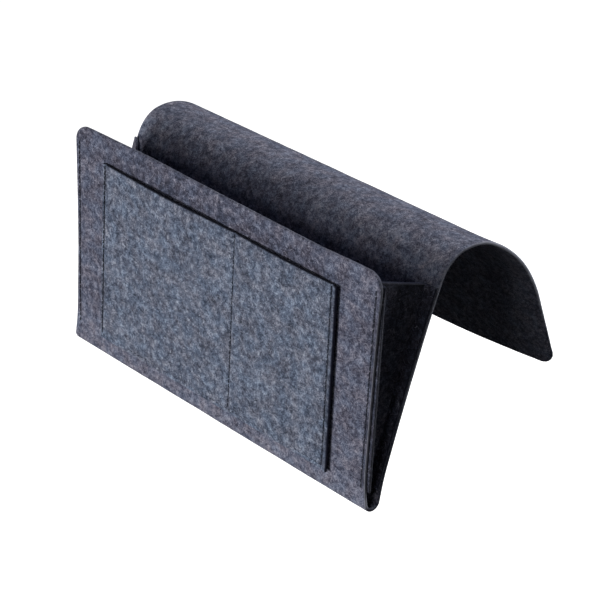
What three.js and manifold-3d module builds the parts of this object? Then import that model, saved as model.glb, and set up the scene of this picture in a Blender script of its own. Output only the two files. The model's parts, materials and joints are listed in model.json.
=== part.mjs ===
// Felt bedside caddy. One long felt sheet is folded into a front wall, a bottom fold, a back wall, a saddle
// that hangs over a rail or a sofa arm, and a rear flap. A felt pocket is sewn on the front wall, and two
// folded felt gussets close the sides of the main pocket.
// Millimetres and degrees. +X runs along the width, +Y from front to rear, +Z up. The origin is on the
// underside of the saddle, at its highest line, where the caddy hangs.

import * as THREE from 'three';
import { mergeVertices } from 'three/addons/utils/BufferGeometryUtils.js';
import Module from 'manifold-3d';

// Felt
const FELT = 3;
const CLEARANCE = 0.3;
const FELT_COLOUR = 0x565c6a;
const FELT_ROUGHNESS = 0.95;

// Main sheet: front wall, bottom fold and back wall
const WIDTH = 320;
const FRONT_HEIGHT = 194;
const FRONT_CORNER_RADIUS = 14;
const FOLD_INNER_RADIUS = 4;
const WALL_SPREAD = 17;
const BACK_RISE = 167;

// Main sheet: saddle, as three arcs along the middle of the felt. An angle is the sheet's direction at the
// arc's end, from straight up (0) over level (90) to straight down (180).
const SHOULDER_RADIUS = 28;
const SHOULDER_END = 82;
const CROWN_RADIUS = 58;
const CROWN_END = 120;
const FALL_RADIUS = 140;
const FALL_END = 154.5;

// Main sheet: flap, straight, with a lower edge that bows out in the middle
const FLAP_SIDE_LENGTH = 83;
const FLAP_BOW = 12;
const FLAP_CORNER_RADIUS = 9;

// Front pocket: in from the front wall's side edges, up from the bottom of the fold and down from the front
// wall's top edge, and its divider, to the right of the middle
const POCKET_LEFT_MARGIN = 32.5;
const POCKET_RIGHT_MARGIN = 37.5;
const POCKET_RISE = 19;
const POCKET_DROP = 22;
const DIVIDER_OFFSET = 20.5;

// Gussets: flange width, how far above the fold both flanges start, and how far below the front wall's top
// edge and below the shoulder they stop
const GUSSET_FLANGE = 8;
const GUSSET_FOOT = 10;
const GUSSET_FRONT_DROP = 10;
const GUSSET_BACK_DROP = 1;

// Seams: thread, and its distance from the felt's edge
const THREAD_WIDTH = 0.9;
const THREAD_HEIGHT = 0.6;
const THREAD_COLOUR = 0x2a2d36;
const THREAD_ROUGHNESS = 0.8;
const POCKET_SEAM_INSET = 3.5;
const GUSSET_SEAM_INSET = 4;
const SEAM_END_MARGIN = 3;

const ARC_STEPS = 14;
const THREAD_ARC_STEPS = 4;

const wasm = await Module();
wasm.setup();

const radians = THREE.MathUtils.degToRad;
const matt = (color, roughness) => new THREE.MeshStandardMaterial({ color, roughness, metalness: 0 });
const feltMaterial = () => matt(FELT_COLOUR, FELT_ROUGHNESS);
const threadMaterial = () => matt(THREAD_COLOUR, THREAD_ROUGHNESS);

function named(name, geometry, material) {
  const mesh = new THREE.Mesh(geometry, material);
  mesh.name = name;
  return mesh;
}

// Booleans: a closed geometry with shared vertices becomes a solid, and comes back as a geometry.

function solidOf(geometry) {
  const bare = geometry.clone();
  bare.deleteAttribute('normal');
  bare.deleteAttribute('uv');
  const merged = mergeVertices(bare);
  return new wasm.Manifold(new wasm.Mesh({
    numProp: 3,
    vertProperties: new Float32Array(merged.attributes.position.array),
    triVerts: new Uint32Array(merged.index.array),
  }));
}

function geometryOf(solid) {
  const mesh = solid.getMesh();
  const geometry = new THREE.BufferGeometry();
  geometry.setAttribute('position', new THREE.BufferAttribute(new Float32Array(mesh.vertProperties), 3));
  geometry.setIndex(new THREE.BufferAttribute(new Uint32Array(mesh.triVerts), 1));
  geometry.computeVertexNormals();
  return geometry;
}

function cut(geometry, tools) {
  let solid = solidOf(geometry);
  for (const tool of tools) solid = solid.subtract(solidOf(tool));
  return geometryOf(solid);
}

// Flat felt: an outline drawn in X and Z becomes a cut of felt whose middle plane is Y = 0.

function flatFelt(outline) {
  const geometry = new THREE.ExtrudeGeometry(outline, {
    depth: FELT,
    bevelEnabled: false,
    curveSegments: ARC_STEPS,
  });
  geometry.rotateX(Math.PI / 2);
  geometry.translate(0, FELT / 2, 0);
  return geometry;
}

// A section drawn in Y and Z is drawn out along X, from one X to another.

function drawnAlongX(section, fromX, toX) {
  const geometry = new THREE.ExtrudeGeometry(section, {
    depth: toX - fromX,
    bevelEnabled: false,
    curveSegments: ARC_STEPS,
  });
  const [x, y, z] = [new THREE.Vector3(1, 0, 0), new THREE.Vector3(0, 1, 0), new THREE.Vector3(0, 0, 1)];
  geometry.applyMatrix4(new THREE.Matrix4().makeBasis(y, z, x));
  geometry.translate(fromX, 0, 0);
  return geometry;
}

function rectangle(left, bottom, right, top) {
  const shape = new THREE.Shape();
  shape.moveTo(left, bottom);
  shape.lineTo(right, bottom);
  shape.lineTo(right, top);
  shape.lineTo(left, top);
  return shape;
}

// Bent felt: the full width of the sheet, bent round a centre from one polar angle in YZ to another.

function bentFelt(middleRadius, from, to) {
  const clockwise = to < from;
  const section = new THREE.Shape();
  section.absarc(0, 0, middleRadius + FELT / 2, from, to, clockwise);
  section.absarc(0, 0, middleRadius - FELT / 2, to, from, !clockwise);
  return drawnAlongX(section, -WIDTH / 2, WIDTH / 2);
}

// The sheet's path in YZ, along the middle of the felt. A station has a place and a direction, which is the
// angle from straight up towards the rear. Seen along a station's frame, +Z follows the sheet and +Y faces
// the rear or the underside.

const foldRadius = FOLD_INNER_RADIUS + FELT / 2;
const foldCentre = { y: FOLD_INNER_RADIUS + FELT, z: FOLD_INNER_RADIUS + FELT };

function rearNormal(angle) {
  return { y: Math.cos(angle), z: -Math.sin(angle) };
}

function along(station, distance) {
  return {
    y: station.y + distance * Math.sin(station.angle),
    z: station.z + distance * Math.cos(station.angle),
    angle: station.angle,
  };
}

function bend(station, radius, endAngle) {
  const normal = rearNormal(station.angle);
  const centre = { y: station.y + radius * normal.y, z: station.z + radius * normal.z };
  const endNormal = rearNormal(endAngle);
  const end = { y: centre.y - radius * endNormal.y, z: centre.z - radius * endNormal.z, angle: endAngle };
  const middleAngle = (station.angle + endAngle) / 2;
  const middleNormal = rearNormal(middleAngle);
  const middle = { y: centre.y - radius * middleNormal.y, z: centre.z - radius * middleNormal.z };
  return { radius, centre, from: station.angle, to: endAngle, end, middle };
}

const spread = radians(WALL_SPREAD);
const foldEndNormal = rearNormal(spread);
const frontFoot = { y: FELT / 2, z: foldCentre.z, angle: 0 };
const backFoot = {
  y: foldCentre.y + foldRadius * foldEndNormal.y,
  z: foldCentre.z + foldRadius * foldEndNormal.z,
  angle: spread,
};
const shoulder = bend(along(backFoot, BACK_RISE), SHOULDER_RADIUS, radians(SHOULDER_END));
const crown = bend(shoulder.end, CROWN_RADIUS, radians(CROWN_END));
const fall = bend(crown.end, FALL_RADIUS, radians(FALL_END));
const flapHead = fall.end;

// A group that stands at a station and turns with the sheet.

function stationGroup(station) {
  const group = new THREE.Group();
  group.position.set(0, station.y, station.z);
  group.rotation.x = -station.angle;
  return group;
}

function bentPiece(name, arc, trim = 0) {
  const trimAngle = trim / arc.radius;
  const geometry = bentFelt(arc.radius, Math.PI - arc.from - trimAngle, Math.PI - arc.to + trimAngle);
  const mesh = named(name, geometry, feltMaterial());
  mesh.position.set(0, arc.centre.y, arc.centre.z);
  return mesh;
}

// Sewn seams: a thread lies in the groove that it pulls into the felt. The run is along local Z, on the face
// at Y = 0 whose outside is -Y.

const grooveDepth = THREAD_HEIGHT + CLEARANCE;
const grooveWidth = THREAD_WIDTH + 2 * CLEARANCE;

function threadRun(length) {
  const section = new THREE.Shape();
  section.moveTo(-THREAD_WIDTH / 2, -THREAD_HEIGHT);
  section.lineTo(THREAD_WIDTH / 2, -THREAD_HEIGHT);
  section.lineTo(THREAD_WIDTH / 2, -THREAD_HEIGHT / 2);
  section.absellipse(0, -THREAD_HEIGHT / 2, THREAD_WIDTH / 2, THREAD_HEIGHT / 2, 0, Math.PI, false);
  const geometry = new THREE.ExtrudeGeometry(section, {
    depth: length,
    bevelEnabled: false,
    curveSegments: THREAD_ARC_STEPS,
  });
  const [x, y, z] = [new THREE.Vector3(-1, 0, 0), new THREE.Vector3(0, -1, 0), new THREE.Vector3(0, 0, 1)];
  geometry.applyMatrix4(new THREE.Matrix4().makeBasis(x, y, z));
  return geometry;
}

function grooveRun(length) {
  const geometry = new THREE.BoxGeometry(grooveWidth, 2 * grooveDepth, length + 2 * CLEARANCE);
  geometry.translate(0, 0, length / 2);
  return geometry;
}

// A seam is placed in its wall's frame: where it starts on the middle plane, which way it runs, and on which
// face it shows. The same placement cuts the groove and lays the thread.

function seamPlacement({ x, z, length, level = false, rear = false }) {
  const placement = new THREE.Matrix4();
  if (level) placement.premultiply(new THREE.Matrix4().makeRotationY(Math.PI / 2));
  if (rear) placement.premultiply(new THREE.Matrix4().makeRotationZ(Math.PI));
  placement.premultiply(new THREE.Matrix4().makeTranslation(x, rear ? FELT / 2 : -FELT / 2, z));
  return { length, placement };
}

function groovesFor(seams) {
  return seams.map(({ length, placement }) => grooveRun(length).applyMatrix4(placement));
}

function threadFor(name, { length, placement }) {
  return named(name, threadRun(length).applyMatrix4(placement), threadMaterial());
}

// Front wall, in the frame of its foot

const front = stationGroup(frontFoot);
const frontTop = FRONT_HEIGHT - frontFoot.z;

function frontOutline() {
  const half = WIDTH / 2;
  const r = FRONT_CORNER_RADIUS;
  const shape = new THREE.Shape();
  shape.moveTo(-half, CLEARANCE);
  shape.lineTo(half, CLEARANCE);
  shape.lineTo(half, frontTop - r);
  shape.absarc(half - r, frontTop - r, r, 0, Math.PI / 2, false);
  shape.absarc(r - half, frontTop - r, r, Math.PI / 2, Math.PI, false);
  return shape;
}

const gussetSeamX = WIDTH / 2 - GUSSET_SEAM_INSET;
const gussetFrontLength = frontTop - GUSSET_FRONT_DROP - GUSSET_FOOT;
const frontSeamLength = gussetFrontLength - 2 * SEAM_END_MARGIN;
const seamFoot = GUSSET_FOOT + SEAM_END_MARGIN;
const frontSeams = {
  left_front_seam: seamPlacement({ x: -gussetSeamX, z: seamFoot, length: frontSeamLength }),
  right_front_seam: seamPlacement({ x: gussetSeamX, z: seamFoot, length: frontSeamLength }),
};
const frontFelt = cut(flatFelt(frontOutline()), groovesFor(Object.values(frontSeams)));
front.add(named('front_wall', frontFelt, feltMaterial()));
for (const [name, seam] of Object.entries(frontSeams)) front.add(threadFor(name, seam));

// Front pocket, on the front wall's outer face

const pocketMiddle = -FELT - CLEARANCE;
const pocket = new THREE.Group();
pocket.position.set(0, pocketMiddle, -frontFoot.z);
const pocketLeft = POCKET_LEFT_MARGIN - WIDTH / 2;
const pocketRight = WIDTH / 2 - POCKET_RIGHT_MARGIN;
const pocketTop = FRONT_HEIGHT - POCKET_DROP;
const pocketSeamBottom = POCKET_RISE + POCKET_SEAM_INSET;
const seamGap = grooveWidth / 2 + CLEARANCE;
const uprightSeamFoot = pocketSeamBottom + seamGap + CLEARANCE;
const uprightSeamLength = pocketTop - SEAM_END_MARGIN - uprightSeamFoot;
const uprightSeam = (x) => seamPlacement({ x, z: uprightSeamFoot, length: uprightSeamLength });
const pocketSeams = {
  pocket_left_seam: uprightSeam(pocketLeft + POCKET_SEAM_INSET),
  pocket_divider_seam: uprightSeam(DIVIDER_OFFSET),
  pocket_right_seam: uprightSeam(pocketRight - POCKET_SEAM_INSET),
  pocket_bottom_seam: seamPlacement({
    x: pocketLeft + POCKET_SEAM_INSET,
    z: pocketSeamBottom,
    length: pocketRight - pocketLeft - 2 * POCKET_SEAM_INSET,
    level: true,
  }),
};
const pocketFelt = flatFelt(rectangle(pocketLeft, POCKET_RISE, pocketRight, pocketTop));
pocket.add(named('front_pocket', cut(pocketFelt, groovesFor(Object.values(pocketSeams))), feltMaterial()));
for (const [name, seam] of Object.entries(pocketSeams)) pocket.add(threadFor(name, seam));
front.add(pocket);

// Bottom fold, from the front wall's foot round to the back wall's foot

const bottomFold = named('bottom_fold', bentFelt(foldRadius, Math.PI, 2 * Math.PI - spread), feltMaterial());
bottomFold.position.set(0, foldCentre.y, foldCentre.z);

// Back wall, in the frame of its foot

const back = stationGroup(backFoot);
const gussetBackLength = BACK_RISE - GUSSET_BACK_DROP - GUSSET_FOOT;
const backSeamLength = gussetBackLength - 2 * SEAM_END_MARGIN;
const backSeams = {
  left_back_seam: seamPlacement({ x: -gussetSeamX, z: seamFoot, length: backSeamLength, rear: true }),
  right_back_seam: seamPlacement({ x: gussetSeamX, z: seamFoot, length: backSeamLength, rear: true }),
};
const backFelt = flatFelt(rectangle(-WIDTH / 2, CLEARANCE, WIDTH / 2, BACK_RISE - CLEARANCE));
back.add(named('back_wall', cut(backFelt, groovesFor(Object.values(backSeams))), feltMaterial()));
for (const [name, seam] of Object.entries(backSeams)) back.add(threadFor(name, seam));

// Gussets: a front flange on the front wall's inner face, a back flange on the back wall's inner face, and a
// web between the two walls, in from the side edges by the flange width

const flangeInner = WIDTH / 2 - GUSSET_FLANGE;
const webOuter = flangeInner - CLEARANCE;
const webInner = webOuter - FELT;
const flangeOffset = FELT + CLEARANCE;
const frontFace = FELT / 2 + CLEARANCE;

function onBackFace(distance) {
  const station = along(backFoot, distance);
  const normal = rearNormal(station.angle);
  return { y: station.y - frontFace * normal.y, z: station.z - frontFace * normal.z };
}

function webSection() {
  const frontY = frontFoot.y + frontFace;
  const lowBack = onBackFace(GUSSET_FOOT);
  const highBack = onBackFace(GUSSET_FOOT + gussetBackLength);
  const section = new THREE.Shape();
  section.moveTo(frontY, frontFoot.z + GUSSET_FOOT);
  section.lineTo(lowBack.y, lowBack.z);
  section.lineTo(highBack.y, highBack.z);
  section.lineTo(frontY, frontFoot.z + GUSSET_FOOT + gussetFrontLength);
  return section;
}

function flange(side, length) {
  const edges = [side * flangeInner, side * WIDTH / 2].sort((a, b) => a - b);
  return flatFelt(rectangle(edges[0], GUSSET_FOOT, edges[1], GUSSET_FOOT + length));
}

const webs = new THREE.Group();
for (const [name, side] of [['left', -1], ['right', 1]]) {
  const frontFlange = named(`${name}_gusset_front_flange`, flange(side, gussetFrontLength), feltMaterial());
  frontFlange.position.y = flangeOffset;
  front.add(frontFlange);
  const backFlange = named(`${name}_gusset_back_flange`, flange(side, gussetBackLength), feltMaterial());
  backFlange.position.y = -flangeOffset;
  back.add(backFlange);
  const faces = [side * webInner, side * webOuter].sort((a, b) => a - b);
  webs.add(named(`${name}_gusset_web`, drawnAlongX(webSection(), faces[0], faces[1]), feltMaterial()));
}

// Rear flap, in the frame of its head: the side edges run down to round corners, and the lower edge is one
// shallow arc between them

function flapOutline() {
  const half = WIDTH / 2;
  const r = FLAP_CORNER_RADIUS;
  const chord = half - r;
  const bowRadius = (chord * chord + FLAP_BOW * FLAP_BOW) / (2 * FLAP_BOW);
  const bowAngle = Math.asin(chord / bowRadius);
  const low = FLAP_SIDE_LENGTH;
  const bowCentre = low + FLAP_BOW - bowRadius;
  const shape = new THREE.Shape();
  shape.moveTo(-half, CLEARANCE);
  shape.lineTo(half, CLEARANCE);
  shape.lineTo(half, low - r);
  shape.absarc(half - r, low - r, r, 0, Math.PI / 2, false);
  shape.absarc(0, bowCentre, bowRadius, Math.PI / 2 - bowAngle, Math.PI / 2 + bowAngle, false);
  shape.absarc(r - half, low - r, r, Math.PI / 2, Math.PI, false);
  return shape;
}

const flap = stationGroup(flapHead);
flap.add(named('rear_flap', flatFelt(flapOutline()), feltMaterial()));

// The whole caddy, moved so that the underside of the saddle's highest line is the origin

const caddy = new THREE.Group();
caddy.name = 'bedside_caddy';
caddy.add(front, bottomFold, back, webs);
caddy.add(bentPiece('saddle_shoulder', shoulder));
caddy.add(bentPiece('saddle_crown', crown, CLEARANCE));
caddy.add(bentPiece('saddle_fall', fall));
caddy.add(flap);
const top = { y: crown.centre.y, z: crown.centre.z + CROWN_RADIUS - FELT / 2 };
caddy.position.set(0, -top.y, -top.z);

// Hinge lines, all along X: the front wall turns about the fold's centre, and the saddle bends at the middle
// of its shoulder and of its fall.
const hingeAt = ({ y, z }) => [0, y - top.y, z - top.z];
caddy.userData.hinges = {
  pocket_fold: hingeAt(foldCentre),
  shoulder_bend: hingeAt(shoulder.middle),
  fall_bend: hingeAt(fall.middle),
};

export default caddy;
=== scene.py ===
# Felt bedside caddy. One felt sheet is folded into a V-shaped pocket and a saddle that hangs over a rail.
# A felt patch is sewn on its front as a divided pocket, and two folded felt gussets close its sides.

import json
import math

import bpy
import numpy as np
from mathutils import Matrix, Vector, noise


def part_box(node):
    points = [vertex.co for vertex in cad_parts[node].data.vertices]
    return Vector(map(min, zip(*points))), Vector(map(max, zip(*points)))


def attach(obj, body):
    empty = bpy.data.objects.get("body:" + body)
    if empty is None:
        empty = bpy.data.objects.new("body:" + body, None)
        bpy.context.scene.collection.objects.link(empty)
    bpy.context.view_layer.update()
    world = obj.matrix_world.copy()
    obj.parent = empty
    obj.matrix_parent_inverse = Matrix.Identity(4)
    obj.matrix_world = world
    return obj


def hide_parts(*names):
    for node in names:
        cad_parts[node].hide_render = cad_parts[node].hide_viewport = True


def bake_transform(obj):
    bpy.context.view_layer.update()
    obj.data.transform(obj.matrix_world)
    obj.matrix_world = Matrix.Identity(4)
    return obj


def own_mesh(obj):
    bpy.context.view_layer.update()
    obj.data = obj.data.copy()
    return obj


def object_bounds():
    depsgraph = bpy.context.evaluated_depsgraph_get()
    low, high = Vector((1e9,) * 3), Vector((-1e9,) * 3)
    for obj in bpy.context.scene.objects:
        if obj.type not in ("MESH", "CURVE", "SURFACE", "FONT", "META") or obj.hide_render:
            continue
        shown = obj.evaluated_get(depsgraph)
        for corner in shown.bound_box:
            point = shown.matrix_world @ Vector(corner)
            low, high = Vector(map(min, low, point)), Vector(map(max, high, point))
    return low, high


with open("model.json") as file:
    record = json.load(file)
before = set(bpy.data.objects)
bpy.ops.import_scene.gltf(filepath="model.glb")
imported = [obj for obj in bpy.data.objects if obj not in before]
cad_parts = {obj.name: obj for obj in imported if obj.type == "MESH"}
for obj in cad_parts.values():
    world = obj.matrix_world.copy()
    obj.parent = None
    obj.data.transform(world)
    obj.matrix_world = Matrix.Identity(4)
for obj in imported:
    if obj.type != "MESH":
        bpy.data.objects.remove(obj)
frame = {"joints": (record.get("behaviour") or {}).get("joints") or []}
cad_box = [list(corner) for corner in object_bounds()]
joints = {joint["name"]: joint for joint in frame["joints"]}


# Main sheet. One die-cut piece of 3 mm needle-punched polyester felt, 320 mm wide and about 620 mm long. It
# is folded up the front, round a small open fold at the bottom, up the back and over the saddle to the flap.
# It bends at the fold, the shoulder and the fall, so it is dressed as three lengths that meet edge to edge.

FELT = 0.003
EDGE_ROUND = 0.001
WALL_SPREAD = math.radians(16.7)
BACK_RISE = 0.1678
SHOULDER_RADIUS = 0.0268
SHOULDER_END = math.radians(82)
CROWN_RADIUS = 0.058
CROWN_END = math.radians(120)
FALL_RADIUS = 0.140
FALL_END = math.radians(154.5)
FLAP_SIDE = 0.0841
FLAP_BOW = 0.0116
FLAP_CORNER = 0.016
FRONT_CORNER = 0.014

front_low, front_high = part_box("front_wall")
HALF_WIDTH = front_high.x
FRONT_MIDDLE = (front_low.y + front_high.y) / 2
FRONT_TOP = front_high.z
fold_centre = Vector(joints["pocket_fold"]["pos_m"])
FOLD_RADIUS = fold_centre.y - FRONT_MIDDLE

# Each stretch of the sheet: its length along the middle of the felt, and how far it turns.
front_length = FRONT_TOP - fold_centre.z
fold_turn = WALL_SPREAD - math.pi
fold_length = -fold_turn * FOLD_RADIUS
shoulder_turn = SHOULDER_END - WALL_SPREAD
crown_turn = CROWN_END - SHOULDER_END
fall_turn = FALL_END - CROWN_END
sheet_stretches = [
    (front_length, 0),
    (fold_length, fold_turn),
    (BACK_RISE, 0),
    (SHOULDER_RADIUS * shoulder_turn, shoulder_turn),
    (CROWN_RADIUS * crown_turn, crown_turn),
    (FALL_RADIUS * fall_turn, fall_turn),
    (FLAP_SIDE, 0),
]
back_start = front_length + fold_length
shoulder_start = back_start + BACK_RISE
crown_start = shoulder_start + SHOULDER_RADIUS * shoulder_turn
fall_start = crown_start + CROWN_RADIUS * crown_turn
flap_start = fall_start + FALL_RADIUS * fall_turn
sheet_end = flap_start + FLAP_SIDE

# Sewing has drawn the front a little to the left and the back and the saddle a little to the right. The
# front's free top edge waves by a millimetre or two.
FRONT_SWAY = -0.0008
BACK_SWAY = 0.0010
TOP_WAVE = (
    (-0.157, 0),
    (-0.120, 0.0006),
    (-0.075, 0.0011),
    (-0.030, 0),
    (0.060, -0.0013),
    (0.105, -0.0019),
    (0.131, -0.0010),
    (0.160, -0.0005),
)
WAVE_REACH = 0.060


def on_sheet(x, along, off=0):
    """Points of the folded sheet: across it, along it from the front's top edge, and off its middle. Off is
    positive towards the face that is outside on the front wall and underneath on the saddle."""
    sway = FRONT_SWAY + (BACK_SWAY - FRONT_SWAY) * np.clip((along - front_length) / fold_length, 0, 1)
    y = np.full(np.shape(along), FRONT_MIDDLE)
    z = np.full(np.shape(along), FRONT_TOP)
    heading = np.full(np.shape(along), math.pi)
    start, first_heading = 0, math.pi
    for number, (length, turn) in enumerate(sheet_stretches):
        last = number == len(sheet_stretches) - 1
        run = np.clip(along - start, 0, None if last else length)
        if turn:
            bend = turn / length
            y = y + (math.cos(first_heading) - np.cos(first_heading + bend * run)) / bend
            z = z + (np.sin(first_heading + bend * run) - math.sin(first_heading)) / bend
            heading = heading + bend * run
        else:
            y = y + run * math.sin(first_heading)
            z = z + run * math.cos(first_heading)
        start += length
        first_heading += turn
    wave = np.interp(x, *zip(*TOP_WAVE)) * np.clip(1 - along / WAVE_REACH, 0, 1)
    return np.stack([x + sway, y + off * np.cos(heading), z + wave - off * np.sin(heading)], axis=-1)


LINES_CLEAR = 0.0004
LINES_APART = 0.0001


def marks(low, high, step, close=(), reach=()):
    """Grid lines from low to high, a step apart, with extra lines at each distance in reach round each place
    in close. The even lines keep clear of the extra ones, and none lie closer together than a tenth of a
    millimetre."""
    lines = list(np.linspace(low, high, max(2, round((high - low) / step) + 1)))
    extra = [place + side * far for place in close for far in reach for side in (-1, 1)]
    extra = [line for line in extra if low <= line <= high]
    lines = [line for line in lines if all(abs(line - other) > LINES_CLEAR for other in extra)]
    lines = sorted(set(lines + extra + [low, high]))
    kept = [lines[0]]
    for line in lines[1:-1]:
        if line - kept[-1] > LINES_APART and lines[-1] - line > LINES_APART:
            kept.append(line)
    return np.array(kept + [lines[-1]])


def rounded_inset(x, half, from_end, corner):
    """How far a point of a cut lies in from its outline: two sides and one end with round corners."""
    past_side = np.maximum(np.abs(x) - (half - corner), 0)
    past_end = np.maximum(corner - from_end, 0)
    round_inset = corner - np.hypot(past_side, past_end)
    straight_inset = np.minimum(half - np.abs(x), from_end)
    return np.where((past_side > 0) & (past_end > 0), round_inset, straight_inset)


def wobble(flat, size, seed):
    """Smooth unevenness from -1 to 1 over a cut's flat coordinates, in patches of the given size."""
    places = np.column_stack([flat.reshape(-1, 2) / size, np.full(flat.size // 2, float(seed))])
    return np.array([noise.noise(place) for place in places]).reshape(flat.shape[:-1])


def directions(grid):
    """Unit normals of a grid of points, towards the face that lies off the sheet's middle positively."""
    normal = np.cross(np.gradient(grid, axis=0), np.gradient(grid, axis=1))
    return normal / np.linalg.norm(normal, axis=2, keepdims=True)


# The faces are uneven in three sizes, given with their heights: slack, bunches of fibre and tufts.
SURFACE_LUMPS = ((0.030, 0.00018), (0.007, 0.00007), (0.0022, 0.00004))
BACK_FACE_SEED = 7


def felt_faces(middle, flat, inset, dips, seed):
    """Both faces of a felt cut. The felt thins to its rounded cut edges, dips under its seams and is a little
    lumpy all over."""
    normal = directions(middle)
    rounding = np.maximum(EDGE_ROUND - np.maximum(inset, 0), 0)
    half = FELT / 2 - EDGE_ROUND + np.sqrt(EDGE_ROUND**2 - rounding**2)
    faces = []
    for number, side in enumerate((1, -1)):
        lumps = sum(
            high * wobble(flat, size, seed + BACK_FACE_SEED * number) for size, high in SURFACE_LUMPS)
        faces.append(middle + side * normal * (half - dips[number] + lumps)[..., None])
    return faces


def placed(name, data):
    """A new object in the scene for a mesh, a lamp or a camera."""
    made = bpy.data.objects.new(name, data)
    bpy.context.scene.collection.objects.link(made)
    return made


# The painted edge light and shade fades within 0.6 mm of the edge. The back face has fibres of its own, so
# its flat coordinates lie further on in the same pattern.
CUT_DEPTH = 0.0006
BACK_FACE_SHIFT = (0.7, 0.3)


def felt_cut(name, faces, flat, inset, painted_edge_light_shade, shade=0, seam_rows=(), seam_columns=()):
    """A closed mesh between two faces. Its cut edges carry a painted highlight where the edge value is 1 and
    painted shade where it is -1. The shade makes the felt itself paler or darker, mostly as painted light and
    shade. Where the cut goes on in another mesh, at a seam row or column, its normals are those of the whole."""
    rows, columns = inset.shape
    count = rows * columns
    index = np.arange(count).reshape(rows, columns)
    quads = np.stack([index[:-1, :-1], index[1:, :-1], index[1:, 1:], index[:-1, 1:]], axis=-1).reshape(-1, 4)
    rim = np.concatenate([index[:, 0], index[-1, 1:], index[-2::-1, -1], index[0, -2::-1]])
    this, after = rim[:-1], rim[1:]
    strip = np.column_stack([after, this, this + count, after + count])
    polygons = np.concatenate([quads, quads[:, ::-1] + count, strip])
    points = np.concatenate([face.reshape(-1, 3) for face in faces])
    mesh = bpy.data.meshes.new(name)
    mesh.from_pydata(points.tolist(), [], polygons.tolist())
    mesh.shade_smooth()

    one = flat.reshape(-1, 2)
    on_points = np.concatenate([one, one + BACK_FACE_SHIFT])
    on_corners = on_points[polygons.ravel()]
    strip_corners = on_corners[-4 * len(strip):].reshape(-1, 4, 2)
    strip_corners[:, 2] = strip_corners[:, 1] + FELT
    strip_corners[:, 3] = strip_corners[:, 0] + FELT
    layer = mesh.uv_layers.new(name="flat_cut")
    layer.uv.foreach_set("vector", on_corners.astype(np.float32).ravel())

    # Painted edge highlight where positive and painted edge shade where negative, fading in from the cut
    # edge.
    faded_edge_light = painted_edge_light_shade * np.clip(1 - np.maximum(inset, 0) / CUT_DEPTH, 0, 1)
    for attribute, value in (("edge_light_and_shade", faded_edge_light), ("light_shade_and_tone", shade + 0 * inset)):
        on_faces = np.tile(value.ravel(), 2).astype(np.float32)
        mesh.attributes.new(attribute, "FLOAT", "POINT").data.foreach_set("value", on_faces)

    if len(seam_rows) or len(seam_columns):
        kept = np.zeros((2, rows, columns, 3))
        for number in (0, 1):
            for row, normal in seam_rows:
                kept[number, row] = normal[number]
            for column, normal in seam_columns:
                kept[number, :, column] = normal[number]
        mesh.normals_split_custom_set_from_vertices(kept.reshape(-1, 3).tolist())
    return placed(name, mesh)


# The sides of the front and back walls are drawn in a little between their corners, where the gussets pull,
# most of all at the upper end of the left back seam and at the foot of the front's right side. They flare out
# round the fold, which no seam holds.
EDGE_FLARE = 0.0015
FRONT_PULL = 0.0017
BACK_PULL = 0.0012
PULL_FROM = 0.004
PULL_ROUND = 0.8
SEAM_END_PULL = 0.0022
SEAM_END_REACH = 0.025
FOOT_PULL = 0.0010
FOOT_REACH = 0.035
FOOT_ABOVE_FOLD = 0.020
FOLD_FLARE = 0.0022
FLARE_REACH = 0.018
GUSSET_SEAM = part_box("right_front_seam")
SEAM_OUT = 0.0008
seam_x = (GUSSET_SEAM[0].x + GUSSET_SEAM[1].x) / 2 + SEAM_OUT
front_seam = (FRONT_TOP - GUSSET_SEAM[1].z, FRONT_TOP - GUSSET_SEAM[0].z)
BACK_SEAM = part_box("right_back_seam")
back_seam_length = (BACK_SEAM[1].z - BACK_SEAM[0].z) / math.cos(WALL_SPREAD)
back_seam_rise = (BACK_SEAM[0].z - fold_centre.z) / math.cos(WALL_SPREAD)
back_seam_from = back_seam_rise + FOLD_RADIUS * math.tan(WALL_SPREAD)
back_seam = (back_start + back_seam_from, back_start + back_seam_from + back_seam_length)


def between(along, low, high):
    """A smooth rise from 0 at low to 1 in the middle and back to 0 at high."""
    share = np.clip((along - low) / (high - low), 0, 1)
    return np.sin(math.pi * share) ** PULL_ROUND


def sheet_side(along, side):
    """Half the sheet's width along it on one side, as if its corners were square."""
    pull = FRONT_PULL * between(along, PULL_FROM, front_length)
    pull = pull + BACK_PULL * between(along, back_start, shoulder_start)
    if side < 0:
        pull = pull + SEAM_END_PULL * np.exp(-(((along - shoulder_start) / SEAM_END_REACH) ** 2))
    else:
        from_foot = along - front_length + FOOT_ABOVE_FOLD
        pull = pull + FOOT_PULL * np.exp(-((from_foot / FOOT_REACH) ** 2))
    past_fold = along - (front_length + back_start) / 2
    return HALF_WIDTH + EDGE_FLARE + FOLD_FLARE * np.exp(-((past_fold / FLARE_REACH) ** 2)) - pull


def sheet_half(along, side):
    """Half the sheet's width along it on one side, with its round corners."""
    half = sheet_side(along, side)
    for corner, from_end in ((FRONT_CORNER, along), (FLAP_CORNER, sheet_end - along)):
        inside = np.clip(corner - from_end, 0, corner)
        half = half - corner + np.sqrt(corner**2 - inside**2)
    return half


# Each seam pulls a groove into the felt, one dip to a stitch. The grid is close round seams and cut edges.
STITCH = 0.0042
GROOVE_DEPTH = 0.0008
GROOVE_HALF = 0.0009
HOLE_SHARE = 0.25
PUCKER = 0.0003
PUCKER_HALF = 0.0035
SEAM_REACH = (0, 0.0004, 0.0008, 0.0013, 0.0019, 0.0028, 0.0042)
EDGE_REACH = np.array((0, 0.0001, 0.0003, 0.0006, 0.0010, 0.0018))
GRID_STEP = 0.004
ROWS_APART = 0.00004
CORNER_STEPS = 11
FOLD_STEPS = 25
SHOULDER_STEPS = 25
CROWN_STEPS = 21
FALL_STEPS = 29
FLAP_STEPS = 24


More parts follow.
